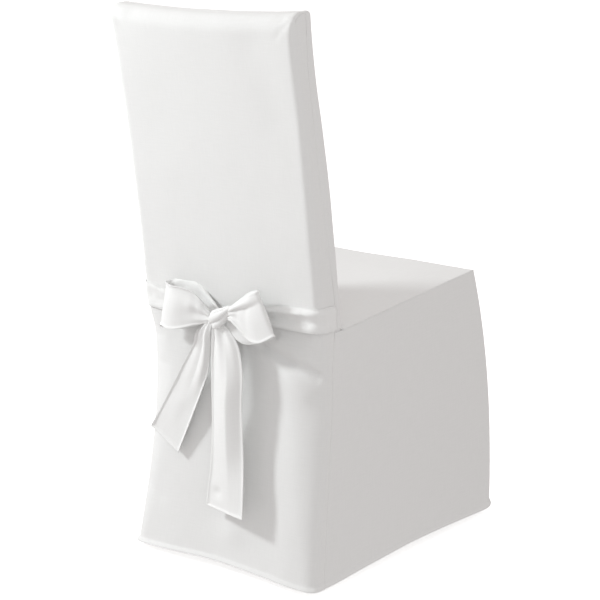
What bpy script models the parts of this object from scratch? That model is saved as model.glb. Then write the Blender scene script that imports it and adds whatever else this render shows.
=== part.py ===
"""Fitted dining-chair cover with a sash tied in a bow behind it.

Units are metres, +Z is up, the chair's front faces -Y and its back faces +Y.
Left and right are those of somebody sitting on the chair, so left is +X.
The shapes are worked out in heights above the floor and in distances forward from
the back. place() then moves them so that the origin lies under the seat panel.
"""
import math

import bmesh
import bpy
from mathutils import Vector

# ---- Driving dimensions -------------------------------------------------------------
TOTAL_HEIGHT = 1.000        # floor to the top of the back
HEM_HEIGHT = 0.010          # the corners of the hem clear the floor by this much
HEM_ARCH = 0.007            # and the middle of each side hangs this much higher
COVER_CLOTH = 0.0015        # thickness of the cover's panels
SASH_CLOTH = 0.0014         # thickness of the sash
SEAM_GAP = 0.0012           # between two panels that are sewn together
COVER_COLOUR = (0.86, 0.86, 0.87, 1.0)
SASH_COLOUR = (0.90, 0.90, 0.90, 1.0)

SEAT_BACK_HEIGHT = 0.458    # top of the seat where it meets the back
SEAT_FRONT_HEIGHT = 0.4886  # top of the seat at its front edge
SEAT_CROWN = 0.006          # the middle of the seat stands this much proud
SEAT_FLAT = 0.35            # share of the seat, from its middle, that is flat
SEAT_MIDDLE = 0.277         # forward of the back, where the object's origin lies under it
SEAT_FRONT = 0.467          # the seat's front edge, forward of the back
SEAT_FRONT_HALF_WIDTH = 0.2035
SKIRT_FRONT = 0.5127        # the front hem, forward of the back
SKIRT_FRONT_HALF_WIDTH = 0.2242
SKIRT_SWELL = 2.4           # how fast the skirt swells below the seat's front corners
SKIRT_HANG = 0.004          # the side skirts fall in this much between their edges
PAST_SLEEVE = 0.001         # the seat's slope starts this far short of the inner back

BACK_RADIUS = 0.014         # the soft edges down the sides of the outer back
FRONT_RADIUS = 0.008        # the edges round the inner back
REAR_TOP_RADIUS = 0.030     # the top edge is rounded by this much at the back
FRONT_TOP_RADIUS = 0.010    # and by this much from TOP_ROUNDED_TO forward
TOP_ROUNDED_TO = 0.034
SIDE_FOLDS_TO = 0.020       # the folds of the back fade out this far round its sides
TOP_SAG = 0.008             # the top edge dips between its corners
TOP_DROP = 0.006            # and its rear edge lies lower than its front edge
TOP_TILT = 0.0015           # the left corner stands this much lower than the middle
TOP_DIPS_FROM = 0.88        # height at which the top's sag starts to show

# The back's section at each height: how far its outer face lies behind the origin of
# depth, its half width, the depth of the sleeve, the depth of its side seam, and how far
# its rear corners are rounded across the back and along the side.
#   height  setback  half_width  depth   seam    round_x  round_y
LEVELS = (
    (0.010, 0.034, 0.2050, 0.0640, 0.0360, 0.024, 0.018),
    (0.150, 0.015, 0.1970, 0.0640, 0.0360, 0.042, 0.027),
    (0.300, 0.001, 0.1950, 0.0640, 0.0360, 0.062, 0.034),
    (0.400, 0.000, 0.1950, 0.0640, 0.0376, 0.056, 0.032),
    (0.450, 0.001, 0.1955, 0.0640, 0.0420, 0.020, 0.018),
    (0.500, 0.005, 0.1960, 0.0640, 0.0465, 0.014, 0.014),
    (0.600, 0.018, 0.1960, 0.0620, 0.0410, 0.014, 0.014),
    (0.700, 0.032, 0.1960, 0.0600, 0.0350, 0.014, 0.014),
    (0.800, 0.047, 0.1955, 0.0575, 0.0325, 0.014, 0.014),
    (0.900, 0.065, 0.1957, 0.0545, 0.0325, 0.014, 0.014),
    (0.960, 0.0752, 0.1980, 0.0527, 0.0345, 0.012, 0.024),
    (1.000, 0.082, 0.2005, 0.0515, 0.0355, 0.009, 0.028),
)

# Soft folds of the outer back, each along a line on it.
#   top_x   top_z  bottom_x  bottom_z  width   rise
BACK_FOLDS = (
    (-0.135, 0.350, -0.150, -0.040, 0.030, 0.0030),   # the long ridge above the right corner
    (-0.070, 0.420, -0.200, 0.382, 0.018, -0.0070),   # the trough dragged down by the knot
    (-0.110, 0.446, -0.185, 0.416, 0.014, 0.0040),    # the ridge above that trough
    (0.190, 0.415, 0.150, 0.405, 0.008, -0.0015),     # short creases under the left strap
    (0.192, 0.385, 0.150, 0.380, 0.008, -0.0015),
    (-0.012, 0.400, -0.020, 0.080, 0.026, 0.0045),    # a soft ridge that the right tail lies over
    (0.120, 0.300, 0.135, -0.040, 0.050, 0.0030),     # a shallow swell over the left leg
    (0.020, 0.350, 0.010, -0.040, 0.070, -0.0040),    # the hem hangs in between the legs
)

KNOT_CENTRE = Vector((-0.009, 0.040, 0.469))
KNOT_SIZE = Vector((0.0180, 0.0130, 0.0130))
KNOT_TILT = math.radians(-38.0)
KNOT_WRAPS = 3
KNOT_GROOVE = 0.10

# The straps run from the side seams round the corners to the knot. share is the way
# along, height the middle of the strap, width its breadth there, off how far its lower
# edge stands off the back, and roll how far its upper edge is rolled out.
#   share  height  width   off     roll
RIGHT_STRAP = (
    (0.00, 0.482, 0.044, 0.0026, 0.0006),
    (0.16, 0.484, 0.043, 0.0040, 0.0020),
    (0.32, 0.484, 0.041, 0.0080, 0.0036),
    (0.55, 0.482, 0.036, 0.0095, 0.0044),
    (0.75, 0.477, 0.028, 0.0120, 0.0040),
    (1.00, 0.470, 0.022, 0.0150, 0.0020),
)
LEFT_STRAP = (
    (0.00, 0.478, 0.044, 0.0026, 0.0006),
    (0.25, 0.476, 0.044, 0.0030, 0.0014),
    (0.50, 0.468, 0.036, 0.0040, 0.0016),
    (0.75, 0.465, 0.028, 0.0060, 0.0014),
    (1.00, 0.468, 0.022, 0.0100, 0.0010),
)
UPPER_EDGE_OFF = 0.0026     # the straps' upper edges lie this close to the back
ROLL_AT = 0.86              # share of a strap's width at which its roll stands out most
ROLL_WIDTH = 0.12
STRAP_ENDS_APART = 0.001    # half the space between the two straps behind the knot

# The loops and tails are lengths of the sash. A row gives the two edges of the cloth at a
# share of the way along it, how far the cloth swells out between them, the depth of its
# gathers and the height of its one ridge.
#   share   x_low   y_low   z_low   x_high  y_high  z_high  swell   gather  ridge
LEFT_LOOP = (
    (0.00, 0.0085, 0.0340, 0.4600, 0.0080, 0.0340, 0.4740, 0.0010, 0.0020, 0.0000),
    (0.10, 0.0300, 0.0350, 0.4545, 0.0280, 0.0350, 0.4910, 0.0030, 0.0026, 0.0000),
    (0.22, 0.0483, 0.0420, 0.4493, 0.0488, 0.0400, 0.5077, 0.0040, 0.0014, 0.0000),
    (0.34, 0.0699, 0.0490, 0.4414, 0.0717, 0.0450, 0.5133, 0.0040, 0.0006, 0.0000),
    (0.44, 0.0975, 0.0520, 0.4363, 0.0915, 0.0460, 0.5141, 0.0030, 0.0002, 0.0000),
    (0.50, 0.1184, 0.0460, 0.4388, 0.1091, 0.0380, 0.5145, 0.0010, 0.0000, 0.0000),
    (0.56, 0.1330, 0.0240, 0.4251, 0.1195, 0.0220, 0.5123, 0.0010, 0.0000, 0.0000),
    (0.68, 0.1094, 0.0180, 0.4254, 0.0978, 0.0170, 0.5198, 0.0010, 0.0004, 0.0000),
    (0.80, 0.0783, 0.0170, 0.4337, 0.0673, 0.0170, 0.5202, 0.0010, 0.0008, 0.0000),
    (0.90, 0.0450, 0.0190, 0.4470, 0.0380, 0.0180, 0.5040, 0.0010, 0.0012, 0.0000),
    (1.00, 0.0085, 0.0230, 0.4610, 0.0070, 0.0220, 0.4760, 0.0010, 0.0012, 0.0000),
)
RIGHT_LOOP = (
    (0.00, -0.0265, 0.0420, 0.4700, -0.0262, 0.0420, 0.4800, 0.0010, 0.0010, 0.0000),
    (0.10, -0.0423, 0.0480, 0.4688, -0.0400, 0.0450, 0.4904, 0.0030, 0.0014, 0.0020),
    (0.20, -0.0603, 0.0500, 0.4625, -0.0556, 0.0450, 0.5017, 0.0020, 0.0006, 0.0080),
    (0.30, -0.0802, 0.0520, 0.4479, -0.0717, 0.0460, 0.5122, 0.0030, 0.0004, 0.0085),
    (0.42, -0.1099, 0.0540, 0.4455, -0.0867, 0.0470, 0.5225, 0.0050, 0.0002, 0.0065),
    (0.50, -0.1370, 0.0510, 0.4601, -0.0959, 0.0450, 0.5278, 0.0040, 0.0000, 0.0015),
    (0.56, -0.1217, 0.0400, 0.4500, -0.0881, 0.0360, 0.5287, 0.0020, 0.0000, 0.0000),
    (0.66, -0.0889, 0.0330, 0.4362, -0.0675, 0.0300, 0.5223, 0.0010, 0.0004, 0.0000),
    (0.78, -0.0602, 0.0300, 0.4306, -0.0500, 0.0270, 0.5081, 0.0010, 0.0006, 0.0000),
    (0.88, -0.0400, 0.0290, 0.4420, -0.0360, 0.0270, 0.4915, 0.0010, 0.0010, 0.0000),
    (1.00, -0.0265, 0.0300, 0.4640, -0.0262, 0.0290, 0.4760, 0.0010, 0.0010, 0.0000),
)
LEFT_TAIL = (
    (0.00, 0.0040, 0.0320, 0.4480, 0.0210, 0.0300, 0.4470, 0.0010, 0.0020, 0.0000),
    (0.12, 0.0140, 0.0320, 0.4310, 0.0480, 0.0280, 0.4260, 0.0020, 0.0016, 0.0020),
    (0.25, 0.0208, 0.0280, 0.4086, 0.0627, 0.0250, 0.4062, 0.0030, 0.0010, 0.0050),
    (0.42, 0.0293, 0.0220, 0.3696, 0.0925, 0.0200, 0.3615, 0.0030, 0.0004, 0.0045),
    (0.55, 0.0448, 0.0180, 0.3329, 0.1151, 0.0180, 0.3246, 0.0020, 0.0002, 0.0015),
    (0.75, 0.0663, 0.0170, 0.2861, 0.1413, 0.0180, 0.2813, 0.0020, 0.0000, 0.0000),
    (1.00, 0.1046, 0.0200, 0.1981, 0.1693, 0.0200, 0.2362, 0.0005, 0.0000, 0.0000),
)
RIGHT_TAIL = (
    (0.00, -0.0210, 0.0380, 0.4490, -0.0020, 0.0380, 0.4480, 0.0010, 0.0020, 0.0000),
    (0.06, -0.0332, 0.0380, 0.4380, 0.0060, 0.0380, 0.4330, 0.0020, 0.0024, 0.0020),
    (0.16, -0.0527, 0.0360, 0.4170, 0.0059, 0.0360, 0.4070, 0.0010, 0.0020, 0.0100),
    (0.30, -0.0576, 0.0360, 0.3759, 0.0100, 0.0350, 0.3634, 0.0000, 0.0006, 0.0140),
    (0.45, -0.0553, 0.0360, 0.3272, 0.0103, 0.0340, 0.3123, 0.0000, 0.0002, 0.0165),
    (0.62, -0.0582, 0.0370, 0.2594, 0.0123, 0.0330, 0.2438, 0.0000, 0.0000, 0.0165),
    (0.78, -0.0631, 0.0410, 0.2069, 0.0169, 0.0330, 0.1909, 0.0000, 0.0000, 0.0110),
    (0.88, -0.0684, 0.0480, 0.1680, 0.0217, 0.0340, 0.1584, 0.0000, 0.0000, 0.0060),
    (1.00, -0.0707, 0.0540, 0.1203, 0.0249, 0.0360, 0.1217, 0.0010, 0.0000, 0.0010),
)
# Where across the sash each one's ridge starts, tops and ends, and how round it is.
LOOP_RIDGE = (0.78, 0.90, 1.01, 2.0)
LEFT_TAIL_RIDGE = (0.04, 0.20, 0.42, 1.6)
RIGHT_TAIL_RIDGE = (0.0, 0.38, 1.02, 1.20)
PLEATS = 2.0                # gathers across the sash where it leaves the knot

# ---- How finely each panel is divided ----------------------------------------------
EDGE_STEPS = 2              # across the rounded edges of the outer and the inner back
RIM_STEPS = 4               # their turned rims, with the rest of the rounded edge
BACK_ACROSS = 13            # odd, so that the top has a flat square in its middle
BACK_UP = 22
INNER_UP = 12
SEAT_STEPS = 9              # odd, so that the origin lies within one flat square
SKIRT_STEPS = 8
RIBBON_ALONG = 20
RIBBON_ACROSS = 8


def clamp(value, low, high):
    return min(max(value, low), high)


def ease(share):
    share = clamp(share, 0.0, 1.0)
    return share * share * (3.0 - 2.0 * share)


def mix(start, end, share):
    return start + (end - start) * share


def smooth(rows, key):
    """The other columns of a table at a key in its first column, on a smooth curve."""
    keys = [row[0] for row in rows]
    key = clamp(key, keys[0], keys[-1])
    lower = max(i for i in range(len(rows) - 1) if keys[i] <= key)
    span = keys[lower + 1] - keys[lower]
    t = (key - keys[lower]) / span

    def slope(row, column):
        before = max(row - 1, 0)
        after = min(row + 1, len(rows) - 1)
        return (rows[after][column] - rows[before][column]) / (keys[after] - keys[before])

    values = []
    for column in range(1, len(rows[0])):
        start = rows[lower][column]
        end = rows[lower + 1][column]
        leave = slope(lower, column) * span
        arrive = slope(lower + 1, column) * span
        curve = (2 * t**3 - 3 * t**2 + 1) * start + (t**3 - 2 * t**2 + t) * leave
        curve += (3 * t**2 - 2 * t**3) * end + (t**3 - t**2) * arrive
        values.append(curve)
    return values


def seat_slope_start():
    """Where the seat starts to rise, forward of the back: just before the inner back."""
    setback, _, depth, _, _, _ = smooth(LEVELS, SEAT_BACK_HEIGHT)
    return depth - setback + PAST_SLEEVE


def seat_edge_height(forward):
    """Top of the seat along its side edges, at a distance forward of the back."""
    start = seat_slope_start()
    share = clamp((forward - start) / (SEAT_FRONT - start), 0.0, 1.0)
    return mix(SEAT_BACK_HEIGHT, SEAT_FRONT_HEIGHT, share)


def seat_underside():
    """Height of the flat middle of the seat panel's underside at the object's origin."""
    rise = (SEAT_FRONT_HEIGHT - SEAT_BACK_HEIGHT) / (SEAT_FRONT - seat_slope_start())
    return seat_edge_height(SEAT_MIDDLE) + SEAT_CROWN - COVER_CLOTH * math.hypot(1.0, rise)


ORIGIN = Vector((0.0, -SEAT_MIDDLE, seat_underside()))


def place(point):
    """From heights above the floor to the object's own frame, whose origin is the seat."""
    return Vector(point) - ORIGIN


# ---- Building sheets -----------------------------------------------------------------
def make_cloth(name, colour):
    cloth = bpy.data.materials.new(name)
    cloth.use_nodes = True
    shader = cloth.node_tree.nodes["Principled BSDF"]
    shader.inputs["Base Color"].default_value = colour
    shader.inputs["Roughness"].default_value = 0.9
    shader.inputs["Metallic"].default_value = 0.0
    return cloth


def add_object(name, bm, collection):
    mesh = bpy.data.meshes.new(name)
    bm.to_mesh(mesh)
    bm.free()
    mesh.shade_smooth()
    is_sash = name.startswith("sash") or name.startswith("bow")
    colour = SASH_COLOUR if is_sash else COVER_COLOUR
    mesh.materials.append(make_cloth(name + "_cloth", colour))
    piece = bpy.data.objects.new(name, mesh)
    collection.objects.link(piece)
    return piece


def thicken(piece, thickness, offset=-1.0):
    """Give a sheet its thickness: inwards from the face that shows, or both ways for 0."""
    solid = piece.modifiers.new("thickness", "SOLIDIFY")
    solid.thickness = thickness
    solid.offset = offset


def grid_sheet(across, up):
    """A flat grid, and each of its points with its share of the way across and up."""
    bm = bmesh.new()
    bmesh.ops.create_grid(bm, x_segments=across, y_segments=up, size=1.0)
    shares = [(point, (point.co.x + 1.0) / 2.0, (point.co.y + 1.0) / 2.0) for point in bm.verts]
    return bm, shares


def shaped_sheet(name, collection, across, up, shape, thickness, offset=-1.0):
    """A sheet whose every point is shape(share across, share up)."""
    bm, shares = grid_sheet(across, up)
    for point, s, t in shares:
        point.co = place(shape(s, t))
    piece = add_object(name, bm, collection)
    thicken(piece, thickness, offset)
    return piece


# ---- The sleeve over the chair's back --------------------------------------------------
def fold_rise(x, z):
    """How far the folds of the outer back stand out at a place on it."""
    rise = 0.0
    for top_x, top_z, bottom_x, bottom_z, width, height in BACK_FOLDS:
        along = Vector((bottom_x - top_x, bottom_z - top_z))
        here = Vector((x - top_x, z - top_z))
        share = here.dot(along) / along.length_squared
        beside = (here - along * clamp(share, 0.0, 1.0)).length
        rise += height * math.exp(-((beside / width) ** 2))
    return rise


def skin_of_sleeve(across, depth, height, off=0.0):
    """Round the sleeve's sharp box at a point on it, and lean and fold it as it hangs."""
    setback, half_width, sleeve_depth, _, round_x, round_y = smooth(LEVELS, height)
    round_x = mix(round_x, FRONT_RADIUS, ease(depth / sleeve_depth))
    round_z = mix(REAR_TOP_RADIUS, FRONT_TOP_RADIUS, ease(depth / TOP_ROUNDED_TO))
    sharp = Vector((across, depth, height))
    core = Vector((
        clamp(across, round_x - half_width, half_width - round_x),
        clamp(depth, round_y, sleeve_depth - FRONT_RADIUS),
        min(height, TOTAL_HEIGHT - round_z),
    ))
    if depth > round_y:
        round_y = FRONT_RADIUS
    beyond = sharp - core
    squash = Vector((beyond.x / round_x, beyond.y / round_y, beyond.z / round_z))
    slope = Vector((squash.x / round_x, squash.y / round_y, squash.z / round_z))
    skin = core + beyond / squash.length + slope.normalized() * off
    near_top = ease((height - TOP_DIPS_FROM) / (TOTAL_HEIGHT - TOP_DIPS_FROM))
    sag = TOP_SAG * (1.0 - (across / half_width) ** 2)
    drop = TOP_DROP * (1.0 - depth / sleeve_depth) + TOP_TILT * across / half_width
    on_back = 1.0 - ease(depth / SIDE_FOLDS_TO)
    return Vector((
        skin.x,
        setback - skin.y + on_back * fold_rise(skin.x, skin.z),
        skin.z - near_top * (sag + drop),
    ))


def hem_height(share):
    """The hem hangs higher between two corners than at them."""
    return HEM_HEIGHT + HEM_ARCH * math.sin(math.pi * clamp(share, 0.0, 1.0))


def spread(step, flat_steps, start, edge, radius):
    """Steps run evenly from start to a radius short of an edge, and closely up to it."""
    if step <= flat_steps:
        return mix(start, edge - radius, step / flat_steps)
    close = min(step - flat_steps, EDGE_STEPS) / EDGE_STEPS
    return edge - radius * (1.0 - close)


def rim_inset(step, radius, rim):
    """Distance round the edge onto a rim: closely for the radius, and then evenly."""
    close = min(radius, 0.6 * rim)
    if step <= EDGE_STEPS:
        return close * step / EDGE_STEPS
    return mix(close, rim, (step - EDGE_STEPS) / (RIM_STEPS - EDGE_STEPS))


def sleeve_lid(name, collection, outer, up, bottom):
    """The outer or the inner back: a face whose rim turns round both sides and the top.

    Its cloth is cut out at the two top corners, and the cut edges are sewn together.
    """
    radius = BACK_RADIUS if outer else FRONT_RADIUS
    top_radius = REAR_TOP_RADIUS if outer else FRONT_TOP_RADIUS
    flat_columns = BACK_ACROSS / 2.0
    side_column = flat_columns + EDGE_STEPS
    top_row = up + EDGE_STEPS
    across_steps = BACK_ACROSS + 2 * (EDGE_STEPS + RIM_STEPS)
    up_steps = top_row + RIM_STEPS
    bm, shares = grid_sheet(across_steps, up_steps)
    cut_away = []
    for face in bm.faces:
        middle = face.calc_center_median()
        column = abs(middle.x) * across_steps / 2.0
        row = (middle.y + 1.0) / 2.0 * up_steps
        if row > top_row and column > side_column:
            cut_away.append(face)

    for point, s, t in shares:
        column = round((2.0 * s - 1.0) * across_steps) / 2.0
        row = round(t * up_steps)
        start = bottom(0.5 + 0.5 * column / side_column)
        height = spread(row, up, start, TOTAL_HEIGHT, top_radius)
        _, half_width, depth, seam_depth, _, _ = smooth(LEVELS, height)
        across = spread(abs(column), flat_columns, 0.0, half_width, radius)
        turned = max(abs(column) - side_column, row - top_row, 0)
        if outer:
            across = math.copysign(across, -column)
            inset = rim_inset(turned, radius, seam_depth)
        else:
            across = math.copysign(across, column)
            inset = depth - rim_inset(turned, radius, depth - seam_depth - SEAM_GAP)
        point.co = place(skin_of_sleeve(across, inset, height))
    bmesh.ops.delete(bm, geom=cut_away, context="FACES")
    bmesh.ops.remove_doubles(bm, verts=bm.verts[:], dist=0.00001)
    piece = add_object(name, bm, collection)
    thicken(piece, COVER_CLOTH)
    return piece


def seat_seam_height(_):
    return SEAT_BACK_HEIGHT - COVER_CLOTH


# ---- The seat and the skirt --------------------------------------------------------------
def front_corner(height):
    """Half width and forward distance of the skirt's front corner at a height."""
    fallen = clamp((SEAT_FRONT_HEIGHT - height) / (SEAT_FRONT_HEIGHT - HEM_HEIGHT), 0.0, 1.0)
    swell = 1.0 - (1.0 - fallen) ** SKIRT_SWELL
    half_width = mix(SEAT_FRONT_HALF_WIDTH, SKIRT_FRONT_HALF_WIDTH, swell)
    return half_width, mix(SEAT_FRONT, SKIRT_FRONT, swell)


def side_of_skirt(share, height):
    """Half width and forward distance on a side, from its rear seam to the front corner."""
    setback, rear_half_width, _, seam_depth, _, _ = smooth(LEVELS, height)
    front_half_width, front = front_corner(height)
    forward = mix(seam_depth - setback + SEAM_GAP, front, share)
    hang = SKIRT_HANG * math.sin(math.pi * share) * math.sin(math.pi * height / SEAT_BACK_HEIGHT)
    return mix(rear_half_width, front_half_width, share) - hang, forward


def seat_point(s, t):
    """The seat panel, from its front edge to the inner back; flat in the middle."""
    setback, _, depth, _, _, _ = smooth(LEVELS, SEAT_BACK_HEIGHT)
    forward = mix(SEAT_FRONT, depth - setback + SEAM_GAP, t)
    rear_seam = side_of_skirt(0.0, SEAT_BACK_HEIGHT)[1]
    half_width = side_of_skirt((forward - rear_seam) / (SEAT_FRONT - rear_seam), SEAT_FRONT_HEIGHT)[0]
    from_middle = max(abs(2.0 * s - 1.0), abs(2.0 * t - 1.0))
    crown = SEAT_CROWN * (1.0 - ease((from_middle - SEAT_FLAT) / (1.0 - SEAT_FLAT)))
    return (mix(-half_width, half_width, s), -forward, seat_edge_height(forward) + crown)


def share_along_side(step_share):
    """One column of the skirt lies beside the sleeve, and the others beside the seat."""
    setback, _, depth, seam_depth, _, _ = smooth(LEVELS, SEAT_BACK_HEIGHT)
    beside_sleeve = (depth - seam_depth + PAST_SLEEVE) / (SEAT_FRONT - seam_depth + setback)
    first = 1.0 / SKIRT_STEPS
    if step_share <= first:
        return beside_sleeve * step_share / first
    return mix(beside_sleeve, 1.0, (step_share - first) / (1.0 - first))


def side_skirt(name, collection, side):
    def shape(s, t):
        share = share_along_side(s if side < 0 else 1.0 - s)
        forward = side_of_skirt(share, SEAT_BACK_HEIGHT)[1]
        top = seat_edge_height(forward) - COVER_CLOTH - SEAM_GAP
        height = mix(hem_height(share), top, t)
        half_width, forward = side_of_skirt(share, height)
        return (side * half_width, -forward, height)

    return shaped_sheet(name, collection, SKIRT_STEPS, SKIRT_STEPS, shape, COVER_CLOTH)


def front_skirt(name, collection):
    top = SEAT_FRONT_HEIGHT - COVER_CLOTH - SEAM_GAP

    def shape(s, t):
        height = mix(hem_height(s), top, t)
        half_width, forward = front_corner(height)
        half_width -= COVER_CLOTH + SEAM_GAP
        return (mix(-half_width, half_width, s), -forward, height)

    return shaped_sheet(name, collection, SKIRT_STEPS, SKIRT_STEPS, shape, COVER_CLOTH)


# ---- The sash and its bow ------------------------------------------------------------------
def strap(name, collection, side, rows):
    """A strap from its side seam, round the corner of the back, to behind the knot."""
    _, half_width, _, seam_depth, _, _ = smooth(LEVELS, rows[0][1])
    end_across = side * KNOT_CENTRE.x + STRAP_ENDS_APART
    length = seam_depth + half_width - end_across

    def shape(share, t):
        run = share * length
        height, width, off, roll = smooth(rows, share)
        height += (t - 0.5) * width
        off = mix(off, UPPER_EDGE_OFF, ease(t))
        off += roll * math.exp(-(((t - ROLL_AT) / ROLL_WIDTH) ** 2))
        if run < seam_depth:
            return skin_of_sleeve(side * half_width, seam_depth - run, height, off)
        across = half_width - (run - seam_depth)
        return skin_of_sleeve(side * across, 0.0, height, off)

    return shaped_sheet(name, collection, RIBBON_ALONG, RIBBON_ACROSS // 2, shape, SASH_CLOTH, 0.0)


def ribbon(name, collection, rows, side, ridge):
    """A length of the sash between its two edges, swelling away from the chair's middle.

    The right loop runs the other way across the back, so its side is -1.
    """
    start, top, end, roundness = ridge

    def edges(share):
        x_low, y_low, z_low, x_high, y_high, z_high, swell, gather, rise = smooth(rows, share)
        return Vector((x_low, y_low, z_low)), Vector((x_high, y_high, z_high)), swell, gather, rise

    def shape(s, t):
        low, high, swell, gather, rise = edges(s)
        before = edges(max(s - 0.01, 0.0))
        after = edges(min(s + 0.01, 1.0))
        along = after[0] + after[1] - before[0] - before[1]
        outward = (high - low).cross(along).normalized() * side
        climbed = clamp(min((t - start) / (top - start), (end - t) / (end - top)), 0.0, 1.0)
        lift = swell * math.sin(math.pi * t) + rise * (1.0 - (1.0 - climbed) ** roundness)
        lift += gather * math.sin(2.0 * math.pi * PLEATS * t)
        return low.lerp(high, t) + outward * lift

    return shaped_sheet(name, collection, RIBBON_ALONG, RIBBON_ACROSS, shape, SASH_CLOTH, 0.0)


def knot(name, collection):
    """The wrapped knot: a tilted pebble with the grooves between its wraps."""
    bm = bmesh.new()
    bmesh.ops.create_uvsphere(bm, u_segments=20, v_segments=12, radius=1.0)
    for point in bm.verts:
        groove = 1.0 - KNOT_GROOVE * (0.5 + 0.5 * math.cos(KNOT_WRAPS * math.pi * point.co.z))
        x = point.co.x * KNOT_SIZE.x * groove
        y = point.co.y * KNOT_SIZE.y * groove
        z = point.co.z * KNOT_SIZE.z * groove
        turned = Vector((
            x * math.cos(KNOT_TILT) - z * math.sin(KNOT_TILT),
            y,
            x * math.sin(KNOT_TILT) + z * math.cos(KNOT_TILT),
        ))
        point.co = place(KNOT_CENTRE + turned)
    return add_object(name, bm, collection)


def build():
    for old in list(bpy.data.objects):
        bpy.data.objects.remove(old, do_unlink=True)
    cover = bpy.data.collections.new("chair_cover_with_sash")
    bpy.context.scene.collection.children.link(cover)

    sleeve_lid("outer_back", cover, True, BACK_UP, hem_height)
    sleeve_lid("inner_back", cover, False, INNER_UP, seat_seam_height)
    shaped_sheet("seat_panel", cover, SEAT_STEPS, SEAT_STEPS, seat_point, COVER_CLOTH)
    side_skirt("side_skirt_left", cover, 1.0)
    side_skirt("side_skirt_right", cover, -1.0)
    front_skirt("front_skirt", cover)
    strap("sash_strap_left", cover, 1.0, LEFT_STRAP)
    strap("sash_strap_right", cover, -1.0, RIGHT_STRAP)
    knot("bow_knot", cover)
    ribbon("bow_loop_left", cover, LEFT_LOOP, 1.0, LOOP_RIDGE)
    ribbon("bow_loop_right", cover, RIGHT_LOOP, -1.0, LOOP_RIDGE)
    ribbon("bow_tail_left", cover, LEFT_TAIL, 1.0, LEFT_TAIL_RIDGE)
    ribbon("bow_tail_right", cover, RIGHT_TAIL, 1.0, RIGHT_TAIL_RIDGE)


build()
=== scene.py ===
import math

import bmesh
import bpy
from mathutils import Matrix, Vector, noise


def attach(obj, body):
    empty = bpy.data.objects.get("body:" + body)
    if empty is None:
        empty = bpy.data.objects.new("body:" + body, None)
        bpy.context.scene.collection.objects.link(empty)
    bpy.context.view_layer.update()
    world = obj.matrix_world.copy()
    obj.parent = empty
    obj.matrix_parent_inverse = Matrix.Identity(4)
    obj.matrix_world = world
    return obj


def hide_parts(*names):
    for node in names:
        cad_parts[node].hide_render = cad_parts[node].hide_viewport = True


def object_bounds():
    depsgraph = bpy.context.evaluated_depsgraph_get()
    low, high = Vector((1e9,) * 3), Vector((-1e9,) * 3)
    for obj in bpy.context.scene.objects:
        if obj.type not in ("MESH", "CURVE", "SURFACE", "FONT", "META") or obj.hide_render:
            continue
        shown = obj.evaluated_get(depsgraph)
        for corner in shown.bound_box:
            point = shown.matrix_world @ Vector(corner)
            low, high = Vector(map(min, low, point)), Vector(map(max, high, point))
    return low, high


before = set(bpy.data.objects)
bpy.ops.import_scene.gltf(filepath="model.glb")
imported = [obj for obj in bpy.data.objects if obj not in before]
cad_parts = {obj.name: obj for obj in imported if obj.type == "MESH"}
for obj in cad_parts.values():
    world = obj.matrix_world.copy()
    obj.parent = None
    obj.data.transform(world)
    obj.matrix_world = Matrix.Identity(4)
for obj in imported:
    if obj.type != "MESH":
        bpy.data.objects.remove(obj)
cad_low, cad_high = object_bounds()

# ---- Camera ------------------------------------------------------------------------------
# It stands behind the chair and to its right, a little above the seat, with a long lens.
# Every place in this file is given across the chair, behind its back and above the floor,
# and at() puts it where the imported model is.
HEM_ABOVE_FLOOR = 0.010     # the hem's corners clear the floor by this much
FRONT_HEM = 0.5127          # and the front hem lies this far forward of the back
floor_z = cad_low.z - HEM_ABOVE_FLOOR
back_y = cad_low.y + FRONT_HEM


def at(across, behind, height):
    """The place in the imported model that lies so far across, behind the back and up."""
    return Vector((across, back_y + behind, floor_z + height))


CAMERA_DISTANCE = 3.124
looking_at = at(-0.0371, -0.150, 0.4687)
azimuth = math.radians(217.455)
elevation = math.radians(14.175)
towards_camera = Vector((
    math.sin(azimuth) * math.cos(elevation),
    -math.cos(azimuth) * math.cos(elevation),
    math.sin(elevation),
))
lens = bpy.data.cameras.new("camera")
lens.sensor_width = 36.0
lens.lens = 105.06
lens.shift_x = 0.0007
lens.shift_y = -0.0012
camera = bpy.data.objects.new("camera", lens)
camera.location = looking_at + towards_camera * CAMERA_DISTANCE
camera.rotation_euler = towards_camera.to_track_quat("Z", "Y").to_euler()
bpy.context.scene.collection.objects.link(camera)
bpy.context.scene.camera = camera


# ---- Floor and light ---------------------------------------------------------------------
# A white studio floor under a white sky, and one soft lamp high up to the left of the chair
# and behind it. The lamp draws the folds and the sky fills them, most from the chair's front
# and left. A broad weak lamp in line with the camera keeps the hollows open.
FLOOR_HALF_SIZE = 40.0
TOWARDS_LAMP = Vector((0.69, 0.55, 0.48)).normalized()
LAMP_DISTANCE = 2.3
LAMP_SIZE = 0.34
LAMP_POWER = 28.5
FILL_DISTANCE = 3.0
FILL_SIZE = 2.0
FILL_POWER = 13.5
SKY_STRENGTH = 0.74
SKY_SLOPE = 0.19            # it loses this much towards its dark side and gains it opposite
SKY_DARK_SIDE = (-0.6, 0.8, 0.0)


def to_linear(code):
    """The linear colour that a shader takes, from an sRGB hex value."""
    channels = [int(code[i:i + 2], 16) / 255.0 for i in (0, 2, 4)]
    linear = [c / 12.92 if c <= 0.04045 else ((c + 0.055) / 1.055) ** 2.4 for c in channels]
    return (linear[0], linear[1], linear[2], 1.0)


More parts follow.
